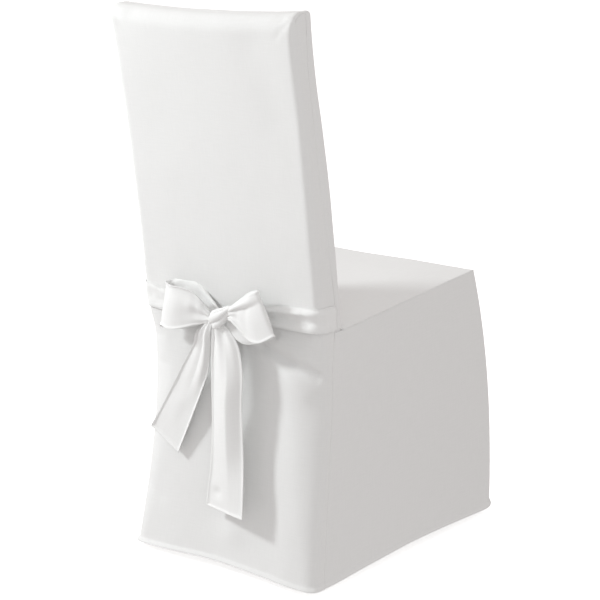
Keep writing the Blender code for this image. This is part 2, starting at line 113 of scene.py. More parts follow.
def add_node(material, kind, values=None, links=None, **settings):
    """Add a node to a material, with its inputs' values, their links and its settings."""
    node = material.node_tree.nodes.new(kind)
    for name, value in settings.items():
        setattr(node, name, value)
    for name, value in (values or {}).items():
        node.inputs[name].default_value = value
    for name, source in (links or {}).items():
        material.node_tree.links.new(source, node.inputs[name])
    return node


# Matt white paint on the floor: no gloss, and a glow that keeps the ground plain and even.
floor_paint = bpy.data.materials.new("matt_floor_paint")
floor_paint.use_nodes = True
floor_shader = floor_paint.node_tree.nodes["Principled BSDF"]
floor_shader.inputs["Base Color"].default_value = to_linear("F8F8F8")
floor_shader.inputs["Roughness"].default_value = 1.0
floor_shader.inputs["Specular IOR Level"].default_value = 0.0
floor_shader.inputs["Emission Color"].default_value = to_linear("FFFFFF")
floor_shader.inputs["Emission Strength"].default_value = 0.55

bm = bmesh.new()
bmesh.ops.create_grid(bm, x_segments=4, y_segments=4, size=FLOOR_HALF_SIZE)
bmesh.ops.translate(bm, verts=bm.verts, vec=at(0.0, 0.0, 0.0))
floor_mesh = bpy.data.meshes.new("studio_floor")
bm.to_mesh(floor_mesh)
bm.free()
floor_mesh.materials.append(floor_paint)
studio_floor = bpy.data.objects.new("studio_floor", floor_mesh)
studio_floor.visible_diffuse = False    # the floor throws no light up on the cloth
bpy.context.scene.collection.objects.link(studio_floor)

sky = bpy.data.worlds.new("studio")
sky.use_nodes = True
background = sky.node_tree.nodes["Background"]
background.inputs["Color"].default_value = (1.0, 0.965, 0.955, 1.0)
heading = add_node(sky, "ShaderNodeTexCoord").outputs["Generated"]
darkness = add_node(sky, "ShaderNodeVectorMath", {1: SKY_DARK_SIDE}, {0: heading},
                    operation="DOT_PRODUCT")
strength = add_node(sky, "ShaderNodeMath", {1: -SKY_SLOPE, 2: SKY_STRENGTH},
                    {0: darkness.outputs["Value"]}, operation="MULTIPLY_ADD")
sky.node_tree.links.new(strength.outputs[0], background.inputs["Strength"])
bpy.context.scene.world = sky

for name, towards, distance, size, power in (
    ("soft_lamp", TOWARDS_LAMP, LAMP_DISTANCE, LAMP_SIZE, LAMP_POWER),
    ("fill_lamp", towards_camera, FILL_DISTANCE, FILL_SIZE, FILL_POWER),
):
    lamp_data = bpy.data.lights.new(name, "AREA")
    lamp_data.shape = "DISK"
    lamp_data.size = size
    lamp_data.energy = power
    lamp_data.color = (0.95, 0.99, 1.0)
    lamp = bpy.data.objects.new(name, lamp_data)
    lamp.location = looking_at + towards * distance
    lamp.rotation_euler = towards.to_track_quat("Z", "Y").to_euler()
    bpy.context.scene.collection.objects.link(lamp)
bpy.context.scene.view_settings.view_transform = "Standard"


# ---- Outer back --------------------------------------------------------------------------
# One length of white plain-weave cotton from the top of the back to the hem. It is turned
# round both sides and over the top of the chair's back, its top corners are darted, and it
# falls in soft folds below the sash that is drawn round it.
TOTAL_HEIGHT = 1.000
HEM_ARCH = 0.007            # the middle of a side's hem hangs this much higher
COVER_CLOTH = 0.0015        # thickness of the cloth
COVER_HEM = 0.009           # width of the turned hem
HEM_FLARE = 0.0045          # a hem's edge curls out this much
SEAM_GAP = 0.0001           # between two cloths that are sewn together
FRONT_RADIUS = 0.008        # of the edges round the inner back
REAR_TOP_RADIUS = 0.030     # the top edge is rounded by this much at the back
FRONT_TOP_RADIUS = 0.010    # and by this much from TOP_ROUNDED_TO forward
TOP_ROUNDED_TO = 0.034
TOP_SAG = 0.008             # the top edge dips between its corners
TOP_DROP = 0.006            # and its rear edge lies lower than its front edge
TOP_TILT = 0.0015           # the left corner stands this much lower than the middle
TOP_DIPS_FROM = 0.88        # height at which the top's sag starts to show
SIDE_FOLDS_TO = 0.020       # the folds of the back fade out this far round its sides
COVER_THREAD_MM = 1.3       # real threads lie 0.5 mm apart, too fine to show, so drawn coarser
COVER_SLUB_MM = 2.2         # width of the thicker places in the yarn, drawn coarser as well
THREAD_RELIEF_MM = 0.05

# The back's section at each height: how far its outer face lies behind the origin of
# depth, its half width, the depth of the sleeve, the depth of its side seam, and how far
# its rear corners are rounded across the back and along the side.
#   height  setback  half_width  depth   seam    round_x  round_y
LEVELS = (
    (0.010, 0.034, 0.2050, 0.0640, 0.0360, 0.024, 0.018),
    (0.150, 0.015, 0.1970, 0.0640, 0.0360, 0.042, 0.027),
    (0.300, 0.001, 0.1950, 0.0640, 0.0360, 0.062, 0.034),
    (0.400, 0.000, 0.1950, 0.0640, 0.0376, 0.056, 0.032),
    (0.450, 0.001, 0.1955, 0.0640, 0.0420, 0.020, 0.018),
    (0.500, 0.005, 0.1960, 0.0640, 0.0465, 0.014, 0.014),
    (0.600, 0.018, 0.1960, 0.0620, 0.0410, 0.014, 0.014),
    (0.700, 0.032, 0.1960, 0.0600, 0.0350, 0.014, 0.014),
    (0.800, 0.047, 0.1955, 0.0575, 0.0325, 0.014, 0.014),
    (0.900, 0.065, 0.1957, 0.0545, 0.0325, 0.014, 0.014),
    (0.960, 0.0752, 0.1980, 0.0527, 0.0345, 0.012, 0.024),
    (1.000, 0.082, 0.2005, 0.0515, 0.0355, 0.009, 0.028),
)
# Soft folds of the outer back, each along a line on it.
#   top_x   top_z  bottom_x  bottom_z  width   rise
BACK_FOLDS = (
    (-0.135, 0.350, -0.150, -0.040, 0.030, 0.0030),   # the long ridge above the right corner
    (-0.070, 0.420, -0.200, 0.378, 0.010, -0.0095),   # the trough dragged down by the knot
    (-0.115, 0.440, -0.188, 0.400, 0.008, 0.0075),    # the ridge above that trough
    (-0.130, 0.375, -0.160, 0.350, 0.016, 0.0025),
    (-0.200, 1.000, -0.160, 0.962, 0.004, -0.0012),   # the darts of the two top corners
    (0.200, 1.000, 0.160, 0.962, 0.004, -0.0012),
    (0.197, 0.417, 0.160, 0.412, 0.005, -0.0012),     # short creases under the left strap
    (0.197, 0.398, 0.155, 0.402, 0.005, -0.0012),
    (0.197, 0.352, 0.150, 0.350, 0.006, -0.0010),
    (0.197, 0.255, 0.160, 0.252, 0.008, -0.0009),
    (0.175, 0.120, 0.150, 0.105, 0.014, -0.0014),
    (-0.012, 0.400, -0.020, 0.080, 0.026, 0.0045),    # a soft ridge that the right tail lies over
    (0.120, 0.300, 0.135, -0.040, 0.050, 0.0030),     # a shallow swell over the left leg
    (0.020, 0.350, 0.010, -0.040, 0.070, -0.0040),    # the hem hangs in between the legs
    (-0.110, 0.950, -0.150, 0.830, 0.040, -0.0022),   # a faint hollow below the top corner
)


def clamp(value, low, high):
    return min(max(value, low), high)


def ease(share):
    """A share from 0 to 1 that leaves the one and reaches the other gently."""
    share = clamp(share, 0.0, 1.0)
    return share * share * (3.0 - 2.0 * share)


def mix(start, end, share):
    """The value that lies this share of the way from start to end."""
    return start + (end - start) * share


def smooth(rows, key):
    """The other columns of a table at a key in its first column, on a smooth curve."""
    keys = [row[0] for row in rows]
    key = clamp(key, keys[0], keys[-1])
    lower = max(i for i in range(len(rows) - 1) if keys[i] <= key)
    span = keys[lower + 1] - keys[lower]
    t = (key - keys[lower]) / span

    def slope(row, column):
        before = max(row - 1, 0)
        after = min(row + 1, len(rows) - 1)
        return (rows[after][column] - rows[before][column]) / (keys[after] - keys[before])

    values = []
    for column in range(1, len(rows[0])):
        start = rows[lower][column]
        end = rows[lower + 1][column]
        leave = slope(lower, column) * span
        arrive = slope(lower + 1, column) * span
        curve = (2 * t**3 - 3 * t**2 + 1) * start + (t**3 - 2 * t**2 + t) * leave
        curve += (3 * t**2 - 2 * t**3) * end + (t**3 - t**2) * arrive
        values.append(curve)
    return values


def fold_rise(x, z):
    """How far the folds of the outer back stand out at a place on it."""
    rise = 0.0
    for top_x, top_z, bottom_x, bottom_z, width, height in BACK_FOLDS:
        along = Vector((bottom_x - top_x, bottom_z - top_z))
        here = Vector((x - top_x, z - top_z))
        share = here.dot(along) / along.length_squared
        beside = (here - along * clamp(share, 0.0, 1.0)).length
        rise += height * math.exp(-((beside / width) ** 2))
    return rise


def skin_of_sleeve(across, depth, height, off=0.0):
    """Round the sleeve's sharp box at a point on it, and lean and fold it as it hangs."""
    setback, half_width, sleeve_depth, _, round_x, round_y = smooth(LEVELS, height)
    round_x = mix(round_x, FRONT_RADIUS, ease(depth / sleeve_depth))
    round_z = mix(REAR_TOP_RADIUS, FRONT_TOP_RADIUS, ease(depth / TOP_ROUNDED_TO))
    sharp = Vector((across, depth, height))
    core = Vector((
        clamp(across, round_x - half_width, half_width - round_x),
        clamp(depth, round_y, sleeve_depth - FRONT_RADIUS),
        min(height, TOTAL_HEIGHT - round_z),
    ))
    if depth > round_y:
        round_y = FRONT_RADIUS
    beyond = sharp - core
    squash = Vector((beyond.x / round_x, beyond.y / round_y, beyond.z / round_z))
    slope = Vector((squash.x / round_x, squash.y / round_y, squash.z / round_z))
    skin = core + beyond / squash.length + slope.normalized() * off
    near_top = ease((height - TOP_DIPS_FROM) / (TOTAL_HEIGHT - TOP_DIPS_FROM))
    sag = TOP_SAG * (1.0 - (across / half_width) ** 2)
    drop = TOP_DROP * (1.0 - depth / sleeve_depth) + TOP_TILT * across / half_width
    on_back = 1.0 - ease(depth / SIDE_FOLDS_TO)
    return at(
        skin.x,
        setback - skin.y + on_back * fold_rise(skin.x, skin.z),
        skin.z - near_top * (sag + drop),
    )


def hem_height(share):
    """The hem hangs higher between two corners than at them."""
    return HEM_ABOVE_FLOOR + HEM_ARCH * math.sin(math.pi * clamp(share, 0.0, 1.0))


def stations(length, step, first=(), last=()):
    """Places across a cloth: close to its edges as listed, and about a step apart between."""
    start = max(first, default=0.0)
    end = length - max(last, default=0.0)
    count = max(round((end - start) / step), 1)
    between = [mix(start, end, i / count) for i in range(count + 1)]
    places = set(first) | set(between) | {length - gap for gap in last} | {0.0, length}
    return sorted(round(place, 6) for place in places)


HEM_RISE = 0.0005           # a hem's doubled cloth stands this much proud
HEM_STEP_WIDTH = 0.0012     # of the step down from the hem to the single cloth
HEM_STEP_INSET = 0.0005
HEM_EDGE_RADIUS = 0.0010
STITCH_INSET = 0.0012       # the stitches run this far inside the hem's turned edge
STITCH_DEPTH = 0.0007
STITCH_WIDTH = 0.0008


def hemmed(gap, width, flare):
    """How far a turned and stitched hem stands out, at a distance from the cloth's edge."""
    rolled = HEM_RISE * (1.0 - math.sqrt(clamp(gap / HEM_EDGE_RADIUS, 0.0, 1.0)))
    turned = HEM_RISE * (1.0 - ease((gap - width + HEM_STEP_INSET) / HEM_STEP_WIDTH))
    flared = flare * clamp(1.0 - gap / width, 0.0, 1.0)
    stitched = STITCH_DEPTH * math.exp(-(((gap - width + STITCH_INSET) / STITCH_WIDTH) ** 2))
    return turned + flared - stitched - rolled


SEAM_ROLL = 0.0008          # a sewn edge rolls in by this much
SEAM_ROLL_WIDTH = 0.004     # over this width beside its seam
PUCKER_DEPTH = 0.0004       # the stitches pucker the cloth this deep
PUCKER_REACH = 0.009        # and this far from the seam
PUCKERS_PER_METRE = 75.0
DRAWN_BY_SEAM = 0.025       # the seam draws the cloth's slack out as far as this


def seamed(gap, along):
    """How far a sewn edge rolls in towards its seam, with the puckers of its stitches."""
    pucker = 0.5 + 0.5 * noise.noise(Vector((along * PUCKERS_PER_METRE, 0.37, 0.81)))
    roll = SEAM_ROLL * (1.0 - clamp(gap / SEAM_ROLL_WIDTH, 0.0, 1.0)) ** 2
    return -roll - PUCKER_DEPTH * pucker * math.exp(-((gap / PUCKER_REACH) ** 2))


def unevenness(point, size, height):
    """Slack in the cloth: low swells about as wide as size."""
    return height * noise.noise(point / size)


def cut_cloth(across, up):
    """A flat grid with its lines at these places, and UVs in metres of cloth."""
    bm = bmesh.new()
    columns = len(across) - 1
    rows = len(up) - 1
    bmesh.ops.create_grid(bm, x_segments=columns, y_segments=rows, size=1.0)
    uv_layer = bm.loops.layers.uv.new("cloth")
    for point in bm.verts:
        column = round((point.co.x + 1.0) / 2.0 * columns)
        row = round((point.co.y + 1.0) / 2.0 * rows)
        point.co = (across[column], up[row], 0.0)
        for loop in point.link_loops:
            loop[uv_layer].uv = (across[column], up[row])
    return bm


WELD_DISTANCE = 0.00001     # points of a cloth that come this close are one


def hang_cloth(name, bm, shape, relief, thickness, offset, cloth):
    """Put a cut cloth in its hanging shape, press its hems and folds in, and thicken it."""
    flat_places = {point: (point.co.x, point.co.y) for point in bm.verts}
    for point, (u, v) in flat_places.items():
        point.co = shape(u, v)
    bm.normal_update()
    lifts = [(point, point.normal.copy(), relief(*flat_places[point], point.co))
             for point in bm.verts]
    for point, normal, lift in lifts:
        point.co += normal * lift
    bmesh.ops.remove_doubles(bm, verts=bm.verts[:], dist=WELD_DISTANCE)
    mesh = bpy.data.meshes.new(name)
    bm.to_mesh(mesh)
    bm.free()
    mesh.shade_smooth()
    mesh.materials.append(cloth)
    piece = bpy.data.objects.new(name, mesh)
    bpy.context.scene.collection.objects.link(piece)
    solid = piece.modifiers.new("thickness", "SOLIDIFY")
    solid.thickness = thickness
    solid.offset = offset
    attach(piece, "root")
    return piece


WAVE_PERIOD = 0.314159      # length of one band of a wave texture at a scale of 1
SLUB_STRETCH = 14.0         # a slub is this many times longer than it is wide


def plain_weave(name, light, dark, thread_mm, slub_mm, relief_mm):
    """Matt cotton woven one over one: fine crossing threads with slightly uneven slubs."""
    cloth = bpy.data.materials.new(name)
    cloth.use_nodes = True
    shader = cloth.node_tree.nodes["Principled BSDF"]
    shader.inputs["Roughness"].default_value = 0.92
    shader.inputs["Specular IOR Level"].default_value = 0.22
    shader.inputs["Sheen Weight"].default_value = 0.12
    shader.inputs["Sheen Roughness"].default_value = 0.55
    place = add_node(cloth, "ShaderNodeUVMap", uv_map="cloth").outputs["UV"]
    per_wave = WAVE_PERIOD / (thread_mm / 1000.0)
    warp = add_node(cloth, "ShaderNodeTexWave", {"Scale": per_wave, "Distortion": 0.6,
                    "Detail": 1.0, "Detail Scale": 0.4}, {"Vector": place},
                    bands_direction="X").outputs["Fac"]
    weft = add_node(cloth, "ShaderNodeTexWave", {"Scale": per_wave, "Distortion": 0.6,
                    "Detail": 1.0, "Detail Scale": 0.4}, {"Vector": place},
                    bands_direction="Y").outputs["Fac"]
    threads = add_node(cloth, "ShaderNodeMath", None, {0: warp, 1: weft}, operation="MAXIMUM")
    per_slub = 1000.0 / slub_mm
    per_length = per_slub / SLUB_STRETCH
    upright = add_node(cloth, "ShaderNodeMapping", {"Scale": (per_slub, per_length, 1.0)},
                       {"Vector": place})
    level = add_node(cloth, "ShaderNodeMapping", {"Scale": (per_length, per_slub, 1.0)},
                     {"Vector": place})
    warp_slubs = add_node(cloth, "ShaderNodeTexNoise", {"Scale": 1.0, "Detail": 3.0},
                          {"Vector": upright.outputs[0]}).outputs["Fac"]
    weft_slubs = add_node(cloth, "ShaderNodeTexNoise", {"Scale": 1.0, "Detail": 3.0},
                          {"Vector": level.outputs[0]}).outputs["Fac"]
    slubs = add_node(cloth, "ShaderNodeMath", None, {0: warp_slubs, 1: weft_slubs},
                     operation="ADD")
    halved = add_node(cloth, "ShaderNodeMath", {1: 0.5}, {0: slubs.outputs[0]},
                      operation="MULTIPLY")
    tone = add_node(cloth, "ShaderNodeValToRGB", None, {"Fac": halved.outputs[0]})
    tone.color_ramp.elements[0].position = 0.36
    tone.color_ramp.elements[0].color = to_linear(dark)
    tone.color_ramp.elements[1].position = 0.64
    tone.color_ramp.elements[1].color = to_linear(light)
    cloth.node_tree.links.new(tone.outputs["Color"], shader.inputs["Base Color"])
    thread_bump = add_node(cloth, "ShaderNodeBump", {"Strength": 0.35,
                           "Distance": relief_mm / 1000.0}, {"Height": threads.outputs[0]})
    slub_bump = add_node(cloth, "ShaderNodeBump", {"Strength": 0.16,
                         "Distance": 3.0 * relief_mm / 1000.0},
                         {"Height": halved.outputs[0], "Normal": thread_bump.outputs[0]})
    cloth.node_tree.links.new(slub_bump.outputs["Normal"], shader.inputs["Normal"])
    return cloth


# Plain-weave cotton, bleached: a dry matt white whose slubs show as faint crossing streaks.
cover_cotton = plain_weave("plain_weave_cotton", "E8E8E7", "E5E5E4", COVER_THREAD_MM,
                           COVER_SLUB_MM, THREAD_RELIEF_MM)

# A column is counted from the middle of the back: 1 is its edge and 2 its side seam. A row
# is counted from the hem: 1 is the top edge and 2 the seam over the top.
EDGE_GAPS = (0.0, 0.004, 0.008, 0.0115, 0.015, 0.019, 0.024)
RIM_SHARES = (0.08, 0.17, 0.26, 0.36, 0.50, 0.64, 0.76, 0.85, 0.92, 0.96, 1.0)
BACK_HALF_WIDTH = 0.196     # of the flat cloth
BACK_STEP = 0.0052          # from row to row
COLUMNS_IN_HALF = 34        # between the middle and the close columns at an edge
OUTER_RIM = 0.042           # the cloth between an edge of the back and its seam
HEM_GAPS = (0.0, 0.001, 0.0025, 0.005, 0.007, 0.0078, 0.0086, 0.0094, 0.0105, 0.013)
CORNER_AT = 0.195           # the darted corners, across the back
CORNER_WIDTH = 0.040        # how far they crumple the cloth across
CORNER_SHARE = 0.035        # and down, as a share of the back's height
SLACK_HEIGHT = 0.30         # the cloth hangs at its slackest up to this height
TIGHTENS_OVER = 0.16        # and is drawn tight this much higher


def sleeve_columns():
    """The columns of an outer or an inner back, from one side seam to the other."""
    half = [1.0 - gap / BACK_HALF_WIDTH for gap in EDGE_GAPS]
    inner = [mix(0.0, half[-1], i / COLUMNS_IN_HALF) for i in range(1, COLUMNS_IN_HALF)]
    side = sorted(half + inner + [1.0 + share for share in RIM_SHARES])
    return [-column for column in reversed(side)] + [0.0] + side


def outer_rows():
    """The rows of the outer back, from its hem to the seam over the top."""
    upright = TOTAL_HEIGHT - HEM_ABOVE_FLOOR
    places = stations(upright, BACK_STEP, HEM_GAPS, EDGE_GAPS)
    return [place / upright for place in places] + [1.0 + share for share in RIM_SHARES]


def cut_sleeve(columns, rows):
    """The cloth of an outer or an inner back, with its two top corners cut out."""
    bm = cut_cloth(columns, rows)
    corners = []
    for face in bm.faces:
        middle = face.calc_center_median()
        if abs(middle.x) > 1.0 and middle.y > 1.0:
            corners.append(face)
    bmesh.ops.delete(bm, geom=corners, context="FACES")
    uv_layer = bm.loops.layers.uv.active
    for face in bm.faces:
        for loop in face.loops:
            column, row = loop.vert.co.x, loop.vert.co.y
            past = clamp(abs(column) - 1.0, 0.0, 1.0) * OUTER_RIM
            u = math.copysign(min(abs(column), 1.0) * BACK_HALF_WIDTH + past, column)
            v = min(row, 1.0) * TOTAL_HEIGHT + max(row - 1.0, 0.0) * OUTER_RIM
            loop[uv_layer].uv = (u, v)
    return bm


def outer_back_point(column, row):
    """Where the outer back's cloth lies on the sleeve; its columns run from left to right."""
    start = hem_height(0.5 + 0.5 * column)
    height = mix(start, TOTAL_HEIGHT, min(row, 1.0))
    _, half_width, _, seam_depth, _, _ = smooth(LEVELS, height)
    across = math.copysign(min(abs(column), 1.0), -column) * half_width
    turned = max(abs(column) - 1.0, row - 1.0, 0.0)
    return skin_of_sleeve(across, turned * seam_depth, height)


def outer_back_relief(column, row, point):
    """The outer back's hem and seams, its crumpled corners and the slack of its cloth."""
    hem_gap = min(row, 1.0) * (TOTAL_HEIGHT - HEM_ABOVE_FLOOR)
    side_gap = (2.0 - abs(column)) * OUTER_RIM
    top_gap = (2.0 - row) * OUTER_RIM
    lift = hemmed(hem_gap, COVER_HEM, HEM_FLARE)
    if abs(column) > 1.0:
        lift += seamed(side_gap, point.z)
    if row > 1.0:
        lift += seamed(top_gap, point.x)
    beside = (abs(point.x) - CORNER_AT) / CORNER_WIDTH
    below = (1.0 - min(row, 1.0)) / CORNER_SHARE
    near_corner = math.exp(-(beside ** 2 + below ** 2))
    lift += (unevenness(point, 0.010, 0.0012) + unevenness(point, 0.022, 0.0022)) * near_corner
    slack = unevenness(point, 0.120, 0.0011) + unevenness(point, 0.045, 0.00045)
    low = 1.0 - ease((point.z - floor_z - SLACK_HEIGHT) / TIGHTENS_OVER)
    slack += low * unevenness(point, 0.080, 0.0012)
    return lift + slack * ease(side_gap / DRAWN_BY_SEAM)


outer_back = hang_cloth(
    "outer_back_cloth", cut_sleeve(sleeve_columns(), outer_rows()),
    outer_back_point, outer_back_relief, COVER_CLOTH, -1.0, cover_cotton,
)
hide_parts("outer_back")


# ---- Inner back --------------------------------------------------------------------------
# The panel that a sitter leans on. It is the same cotton, turned round the front edges of
# the chair's back and sewn to the outer back along both sides and over the top.
SEAT_BACK_HEIGHT = 0.458    # top of the seat where it meets the back
ALLOWANCE_INSIDE = 0.0017   # past a seam the cloth runs on inside, this deep
ALLOWANCE_SHARES = (1.02, 1.06, 1.12, 1.25, 1.40)
ALLOWANCE_STEP = 0.10       # share of the rim over which it sinks inside
INNER_SIDE_RIM = 0.014      # the cloth between an edge of the inner back and its seam
INNER_TOP_RIM = 0.010
INNER_STEP = 0.0075
INNER_TOP_GAPS = (0.0, 0.003, 0.006, 0.008)
inner_start = SEAT_BACK_HEIGHT - COVER_CLOTH


def inner_back_point(column, row):
    """Where the inner back's cloth lies on the sleeve, and past its seams inside it."""
    height = mix(inner_start, TOTAL_HEIGHT, min(row, 1.0))
    _, half_width, depth, seam_depth, _, _ = smooth(LEVELS, height)
    across = math.copysign(min(abs(column), 1.0), column) * half_width
    turned = max(abs(column) - 1.0, row - 1.0, 0.0)
    inside = ALLOWANCE_INSIDE * ease((turned - 1.0) / ALLOWANCE_STEP)
    depth -= turned * (depth - seam_depth - SEAM_GAP)
    return skin_of_sleeve(across, depth, height, -inside)


def inner_back_relief(column, row, point):
    """The slack of the inner back's cloth, and its seams."""
    side_gap = abs(2.0 - abs(column)) * INNER_SIDE_RIM
    top_gap = abs(2.0 - row) * INNER_TOP_RIM
    lift = unevenness(point, 0.150, 0.0016) + unevenness(point, 0.050, 0.0005)
    if abs(column) > 1.0:
        lift += seamed(side_gap, point.z)
    if row > 1.0:
        lift += seamed(top_gap, point.x)
    return lift


def inner_rows():
    """The rows of the inner back, from the seat to past the seam over the top."""
    upright = TOTAL_HEIGHT - inner_start
    places = stations(upright, INNER_STEP, (), INNER_TOP_GAPS)
    rim = [1.0 + share for share in RIM_SHARES + ALLOWANCE_SHARES]
    return [place / upright for place in places] + rim


def inner_columns():
    """The sleeve's columns, and beside them the cloth that runs on past the side seams."""
    allowance = [1.0 + share for share in ALLOWANCE_SHARES]
    return [-column for column in reversed(allowance)] + sleeve_columns() + allowance


inner_back = hang_cloth(
    "inner_back_cloth", cut_sleeve(inner_columns(), inner_rows()),
    inner_back_point, inner_back_relief, COVER_CLOTH, -1.0, cover_cotton,
)
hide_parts("inner_back")


# ---- Seat panel --------------------------------------------------------------------------
# The cotton over the seat, sewn to the inner back behind and to the skirt round the other
# three sides. It lies smooth on the padded seat, which rises a little towards its front.
SEAT_FRONT_HEIGHT = 0.4886
SEAT_CROWN = 0.006          # the middle of the seat stands this much proud
SEAT_FRONT = 0.467          # its front edge, forward of the back
SEAT_FRONT_HALF_WIDTH = 0.2035
SEAT_CLOTH_LENGTH = 0.404   # from its front edge to the inner back
SEAT_STEP = 0.006
SKIRT_FRONT_HALF_WIDTH = 0.2242
SKIRT_SWELL = 2.4           # how fast the skirt swells below the seat's front corners
SKIRT_HANG = 0.004          # the side skirts fall in this much between their edges
ALLOWANCE_SHARE = 0.003     # share of a side over which its cloth sinks past the rear seam
SEAT_EDGE_GAPS = (0.0, 0.0015, 0.003, 0.005, 0.008)


def front_corner(height):
    """Half width and forward distance of the skirt's front corner at a height."""
    fallen = clamp((SEAT_FRONT_HEIGHT - height) / (SEAT_FRONT_HEIGHT - HEM_ABOVE_FLOOR), 0.0, 1.0)
    swell = 1.0 - (1.0 - fallen) ** SKIRT_SWELL
    half_width = mix(SEAT_FRONT_HALF_WIDTH, SKIRT_FRONT_HALF_WIDTH, swell)
    return half_width, mix(SEAT_FRONT, FRONT_HEM, swell)


def side_of_skirt(share, height):
    """Half width and forward distance on a side, from its rear seam to the front corner."""
    setback, rear_half_width, _, seam_depth, _, _ = smooth(LEVELS, height)
    front_half_width, front = front_corner(height)
    forward = mix(seam_depth - setback + SEAM_GAP, front, share)
    along = math.sin(math.pi * max(share, 0.0))
    hang = SKIRT_HANG * along * math.sin(math.pi * height / SEAT_BACK_HEIGHT)
    inside = ALLOWANCE_INSIDE * ease(-share / ALLOWANCE_SHARE)
    return mix(rear_half_width, front_half_width, share) - hang - inside, forward


def seat_edge_height(forward):
    """Top of the seat along its side edges, at a distance forward of the back."""
    setback, _, depth, _, _, _ = smooth(LEVELS, SEAT_BACK_HEIGHT)
    start = depth - setback
    share = clamp((forward - start) / (SEAT_FRONT - start), 0.0, 1.0)
    return mix(SEAT_BACK_HEIGHT, SEAT_FRONT_HEIGHT, share)


def seat_point(u, v):
    """Where the seat's cloth lies: u across from its middle, v back from its front edge."""
    setback, _, depth, _, _, _ = smooth(LEVELS, SEAT_BACK_HEIGHT)
    s = 0.5 + u / (2.0 * SEAT_FRONT_HALF_WIDTH)
    t = v / SEAT_CLOTH_LENGTH
    forward = mix(SEAT_FRONT, depth - setback + SEAM_GAP, t)
    rear_seam = side_of_skirt(0.0, SEAT_BACK_HEIGHT)[1]
    share = (forward - rear_seam) / (SEAT_FRONT - rear_seam)
    half_width = side_of_skirt(share, SEAT_FRONT_HEIGHT)[0]
    from_middle = max(abs(2.0 * s - 1.0), abs(2.0 * t - 1.0))
    crown = SEAT_CROWN * (1.0 - ease(from_middle ** 2))
    return at(mix(-half_width, half_width, s), -forward, seat_edge_height(forward) + crown)


def seat_relief(u, v, point):
    """The seams at the seat's front and sides, and the slack of its cloth."""
    gap = min(SEAT_FRONT_HALF_WIDTH - abs(u), v)
    along = point.y if SEAT_FRONT_HALF_WIDTH - abs(u) < v else point.x
    return seamed(gap, along) + unevenness(point, 0.110, 0.0010)


seat_across = stations(2.0 * SEAT_FRONT_HALF_WIDTH, SEAT_STEP, SEAT_EDGE_GAPS, SEAT_EDGE_GAPS)
seat_columns = [place - SEAT_FRONT_HALF_WIDTH for place in seat_across]
seat_rows = stations(SEAT_CLOTH_LENGTH, SEAT_STEP, SEAT_EDGE_GAPS)
seat_panel = hang_cloth(
    "seat_cloth", cut_cloth(seat_columns, seat_rows),
    seat_point, seat_relief, COVER_CLOTH, -1.0, cover_cotton,
)
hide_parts("seat_panel")


# ---- Skirt -------------------------------------------------------------------------------
# Three flat panels of the same cotton, two at the sides and one in front. They are sewn to
# the seat and to each other, swell a little towards the floor, and end in a turned hem.
SIDE_LENGTH = 0.470         # from the rear seam to the front corner
SKIRT_DROP = 0.465          # from the seat to the hem, along the cloth
SKIRT_STEP = 0.0065
FRONT_WIDTH = 0.430
REAR_ALLOWANCE = (0.0004, 0.0014, 0.0035, 0.0060)   # cloth past the rear seam
HEM_CORNER = 0.016          # the front corners of the hem are rounded by this much


def rounded_hem(gap):
    """How much the hem rises as it nears a front corner."""
    inside = clamp(gap / HEM_CORNER, 0.0, 1.0)
    return 0.5 * HEM_CORNER * (1.0 - math.sqrt(1.0 - (1.0 - inside) ** 2))


def side_point(side, u, v):
    """Where a side skirt's cloth hangs: u along the seat, v up from its hem."""
    share = (u if side < 0 else SIDE_LENGTH - u) / SIDE_LENGTH
    forward = side_of_skirt(share, SEAT_BACK_HEIGHT)[1]
    top = seat_edge_height(forward) - COVER_CLOTH - SEAM_GAP
    bottom = hem_height(share) + rounded_hem((1.0 - share) * SIDE_LENGTH)
    height = mix(bottom, top, v / SKIRT_DROP)
    half_width, forward = side_of_skirt(share, height)
    return at(side * half_width, -forward, height)


def skirt_relief(u, v, point, width):
    """A skirt panel's seams and hem, and the slack of its cloth, which grows downwards."""
    edge = abs(min(u, width - u))
    lift = seamed(edge, point.z) + seamed(SKIRT_DROP - v, point.y + point.x)
    lift += hemmed(v, COVER_HEM, HEM_FLARE)
    lower = 1.0 - v / SKIRT_DROP
    slack = unevenness(point, 0.140, 0.0012 + 0.0016 * lower) + unevenness(point, 0.050, 0.0004)
    return lift + slack * ease(edge / DRAWN_BY_SEAM)


side_across = stations(SIDE_LENGTH, SKIRT_STEP, SEAT_EDGE_GAPS, SEAT_EDGE_GAPS)
skirt_up = stations(SKIRT_DROP, SKIRT_STEP, HEM_GAPS, SEAT_EDGE_GAPS)
for side_name, side in (("left", 1.0), ("right", -1.0)):
    if side < 0:
        across_side = [-gap for gap in reversed(REAR_ALLOWANCE)] + side_across
    else:
        across_side = side_across + [SIDE_LENGTH + gap for gap in REAR_ALLOWANCE]
    side_skirt = hang_cloth(
        "side_skirt_" + side_name + "_cloth", cut_cloth(across_side, skirt_up),
        lambda u, v: side_point(side, u, v),
        lambda u, v, point: skirt_relief(u, v, point, SIDE_LENGTH),
        COVER_CLOTH, -1.0, cover_cotton,
    )
    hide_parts("side_skirt_" + side_name)


def front_point(u, v):
    """Where the front skirt's cloth hangs: u across from its right edge, v up from its hem."""
    share = u / FRONT_WIDTH
    bottom = hem_height(share) + rounded_hem(min(u, FRONT_WIDTH - u))
    height = mix(bottom, SEAT_FRONT_HEIGHT - COVER_CLOTH - SEAM_GAP, v / SKIRT_DROP)
    half_width, forward = front_corner(height)
    half_width -= COVER_CLOTH + SEAM_GAP
    return at(mix(-half_width, half_width, share), -forward, height)


